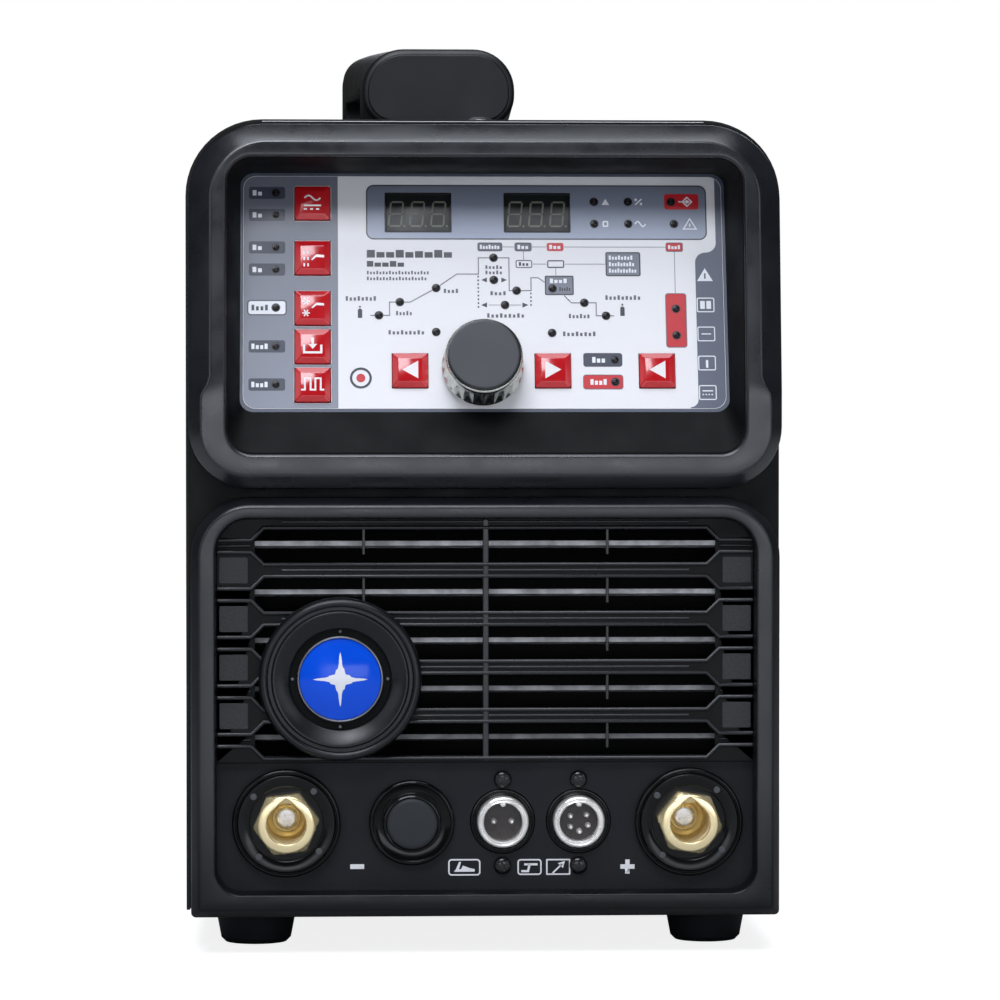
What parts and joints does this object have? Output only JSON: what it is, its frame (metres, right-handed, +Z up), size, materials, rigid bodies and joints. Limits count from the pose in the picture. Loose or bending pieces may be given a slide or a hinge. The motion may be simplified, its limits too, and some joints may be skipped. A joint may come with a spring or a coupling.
{
  "type": "welding machine",
  "caption": "Portable inverter arc-welding power source: sheet-metal case, leaning control panel with knob and keys, air grille, output sockets, top handle, rear fan.",
  "frame": {"origin": "on the floor under the middle of the machine, at the height of the soles of the feet", "axes": "+Z up, the control panel and sockets face -Y, +X is to the right of a person facing the front"},
  "size_m": [0.202, 0.4366, 0.3216],
  "materials": {
    "base_chassis": "black powder coat on folded steel",
    "housing_cover": "fine-textured black powder coat on folded steel",
    "front_frame": "fine-grained black moulded plastic",
    "control_bezel": "satin black moulded plastic, slightly polished on the rim",
    "grille_bezel": "satin black moulded plastic",
    "air_louvre": "grey painted sheet",
    "connector_panel": "black painted sheet with a fine texture",
    "badge_ring": "black moulded plastic, semi-gloss",
    "badge_dome": "blue resin dome",
    "control_tray": "blue-grey plastic",
    "panel_label": "printed polyester film, satin",
    "display_left": "smoked display window",
    "display_right": "smoked display window",
    "indicator_leds": "unlit tinted LED lenses",
    "button": "glossy red moulded key caps",
    "encoder_body": "stamped steel can",
    "encoder_rotor": "white acetal",
    "encoder_shaft": "turned shaft",
    "knob_skirt": "knurled, satin nickel plated",
    "knob_cap": "dark grey anodised disc with a spun surface",
    "control_board": "green solder mask",
    "socket_flange": "black moulded insulating resin",
    "socket_insert": "turned and milled brass",
    "blank_plug": "black moulded nylon",
    "connector_shells": "nickel-plated brass",
    "connector_inserts": "black resin",
    "connector_pins": "silver-plated pins",
    "connector_screws": "black oxide screws",
    "rear_panel": "black powder coat on steel",
    "fan_frame": "black glass-filled plastic",
    "fan_rotor": "black glass-filled plastic",
    "fan_guard": "bright plated steel wire",
    "switch_body": "black nylon",
    "switch_rocker": "red translucent plastic",
    "cable_gland": "black nylon",
    "mains_cable": "black rubber sheath",
    "mains_cores": "coloured core insulation",
    "gas_inlet": "turned brass",
    "gas_hose": "blue braided hose",
    "gas_valve_body": "brass block with a wound coil",
    "valve_plunger": "ground steel",
    "power_board": "green solder mask",
    "heat_sinks": "extruded aluminium",
    "power_modules": "black epoxy",
    "capacitors": "dark blue sleeves",
    "main_transformer": "ferrite core and copper windings",
    "output_choke": "enamelled copper winding",
    "output_bars": "bare copper bar",
    "feet": "black moulded rubber",
    "handle": "satin black moulded plastic",
    "case_screws": "zinc-plated steel"
  },
  "bodies": {
    "machine": {"base_chassis": "base_chassis", "housing_cover": "housing_cover", "front_frame": "front_frame", "control_bezel": "control_bezel", "grille_bezel": "grille_bezel", "air_louvre": "air_louvre", "connector_panel": "connector_panel", "badge_ring": "badge_ring", "badge_dome": "badge_dome", "control_tray": "control_tray", "panel_label": "panel_label", "display_left": "display_left", "display_right": "display_right", "indicator_leds": "indicator_leds", "encoder_body": "encoder_body", "control_board": "control_board", "negative_flange": "socket_flange", "negative_insert": "socket_insert", "positive_flange": "socket_flange", "positive_insert": "socket_insert", "blank_plug": "blank_plug", "connector_shells": "connector_shells", "connector_inserts": "connector_inserts", "connector_pins": "connector_pins", "connector_screws": "connector_screws", "rear_panel": "rear_panel", "fan_frame": "fan_frame", "fan_guard": "fan_guard", "switch_body": "switch_body", "cable_gland": "cable_gland", "mains_cable": "mains_cable", "mains_cores": "mains_cores", "gas_inlet": "gas_inlet", "gas_hose": "gas_hose", "gas_valve_body": "gas_valve_body", "power_board": "power_board", "heat_sinks": "heat_sinks", "power_modules": "power_modules", "capacitors": "capacitors", "main_transformer": "main_transformer", "output_choke": "output_choke", "output_bars": "output_bars", "feet": "feet", "handle": "handle", "case_screws": "case_screws"},
    "ac_dc_button": {"ac_dc_button": "button"},
    "trigger_button": {"trigger_button": "button"},
    "cold_weld_button": {"cold_weld_button": "button"},
    "memory_button": {"memory_button": "button"},
    "pulse_button": {"pulse_button": "button"},
    "back_button": {"back_button": "button"},
    "forward_button": {"forward_button": "button"},
    "select_button": {"select_button": "button"},
    "encoder_rotor": {"encoder_rotor": "encoder_rotor"},
    "knob": {"encoder_shaft": "encoder_shaft", "knob_skirt": "knob_skirt", "knob_cap": "knob_cap"},
    "fan_rotor": {"fan_rotor": "fan_rotor"},
    "switch_rocker": {"switch_rocker": "switch_rocker"},
    "valve_plunger": {"valve_plunger": "valve_plunger"}
  },
  "joints": [
    {"name": "ac_dc_button_press", "type": "slide", "parent": "machine", "child": "ac_dc_button", "axis": [0, 0.9588, -0.284], "range_m": [0, 0.0008], "stiffness_N_per_m": 900, "springref_m": -0.0006},
    {"name": "trigger_button_press", "type": "slide", "parent": "machine", "child": "trigger_button", "axis": [0, 0.9588, -0.284], "range_m": [0, 0.0008], "stiffness_N_per_m": 900, "springref_m": -0.0006},
    {"name": "cold_weld_button_press", "type": "slide", "parent": "machine", "child": "cold_weld_button", "axis": [0, 0.9588, -0.284], "range_m": [0, 0.0008], "stiffness_N_per_m": 900, "springref_m": -0.0006},
    {"name": "memory_button_press", "type": "slide", "parent": "machine", "child": "memory_button", "axis": [0, 0.9588, -0.284], "range_m": [0, 0.0008], "stiffness_N_per_m": 900, "springref_m": -0.0006},
    {"name": "pulse_button_press", "type": "slide", "parent": "machine", "child": "pulse_button", "axis": [0, 0.9588, -0.284], "range_m": [0, 0.0008], "stiffness_N_per_m": 900, "springref_m": -0.0006},
    {"name": "back_button_press", "type": "slide", "parent": "machine", "child": "back_button", "axis": [0, 0.9588, -0.284], "range_m": [0, 0.0008], "stiffness_N_per_m": 900, "springref_m": -0.0006},
    {"name": "forward_button_press", "type": "slide", "parent": "machine", "child": "forward_button", "axis": [0, 0.9588, -0.284], "range_m": [0, 0.0008], "stiffness_N_per_m": 900, "springref_m": -0.0006},
    {"name": "select_button_press", "type": "slide", "parent": "machine", "child": "select_button", "axis": [0, 0.9588, -0.284], "range_m": [0, 0.0008], "stiffness_N_per_m": 900, "springref_m": -0.0006},
    {"name": "knob_turn", "type": "hinge", "parent": "machine", "child": "encoder_rotor", "pos_m": [-0.0008, -0.19903, 0.19692], "axis": [0, -0.9588, 0.284], "continuous": true},
    {"name": "knob_press", "type": "slide", "parent": "encoder_rotor", "child": "knob", "axis": [0, 0.9588, -0.284], "range_m": [0, 0.0007], "stiffness_N_per_m": 1200, "springref_m": -0.0006},
    {"name": "fan_spin", "type": "hinge", "parent": "machine", "child": "fan_rotor", "pos_m": [-0.024, 0.172, 0.096], "axis": [0, 1, 0], "continuous": true},
    {"name": "power_switch", "type": "hinge", "parent": "machine", "child": "switch_rocker", "pos_m": [-0.06, 0.1835, 0.222], "axis": [1, 0, 0], "range_deg": [-24, 0]},
    {"name": "gas_valve_lift", "type": "slide", "parent": "machine", "child": "valve_plunger", "axis": [0, 0, 1], "range_m": [0, 0.002], "stiffness_N_per_m": 400, "springref_m": -0.002}
  ]
}
